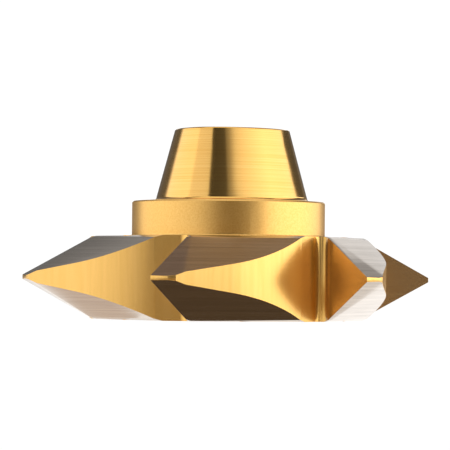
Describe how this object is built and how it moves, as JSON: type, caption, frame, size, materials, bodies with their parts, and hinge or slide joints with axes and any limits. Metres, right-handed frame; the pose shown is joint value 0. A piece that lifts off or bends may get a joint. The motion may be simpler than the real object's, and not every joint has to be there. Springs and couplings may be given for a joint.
{
  "type": "v-profile milling head",
  "caption": "Exchangeable milling head: a toothed V-profile disc on a plain collar with a short three-lobed taper stub, clamped from below by a central screw.",
  "frame": {"origin": "centre of the flat underside, on the tool axis", "axes": "+Z along the tool axis, from the underside towards the taper's free end; +X through the tip of tooth_1"},
  "size_m": [0.032, 0.029, 0.0148],
  "materials": {
    "nitride_polished": "ground, titanium nitride coated",
    "nitride_satin": "satin, titanium nitride coated",
    "carbide_teeth": "carbide, nitride coated with bare ground flanks",
    "pin_steel": "ground",
    "screw_steel": "black oxide"
  },
  "bodies": {
    "head": {"taper_stub": "nitride_polished", "collar": "nitride_satin", "cutter_core": "nitride_satin", "tooth_1": "carbide_teeth", "tooth_2": "carbide_teeth", "tooth_3": "carbide_teeth", "tooth_4": "carbide_teeth", "tooth_5": "carbide_teeth", "tooth_6": "carbide_teeth", "drive_pins": "pin_steel"},
    "washer": {"clamp_washer": "screw_steel"},
    "screw": {"clamp_screw": "screw_steel"}
  },
  "joints": [
    {"name": "washer_travel", "type": "slide", "parent": "head", "child": "washer", "axis": [0, 0, -1], "range_m": [0, 0.0063]},
    {"name": "screw_turn", "type": "hinge", "parent": "washer", "child": "screw", "pos_m": [0, 0, 0.0022], "axis": [0, 0, -1], "range_deg": [0, 3241]}
  ],
  "couplings": [
    {"joint": "screw_turn", "follows": "washer_travel", "rad_per_m": 8976}
  ]
}
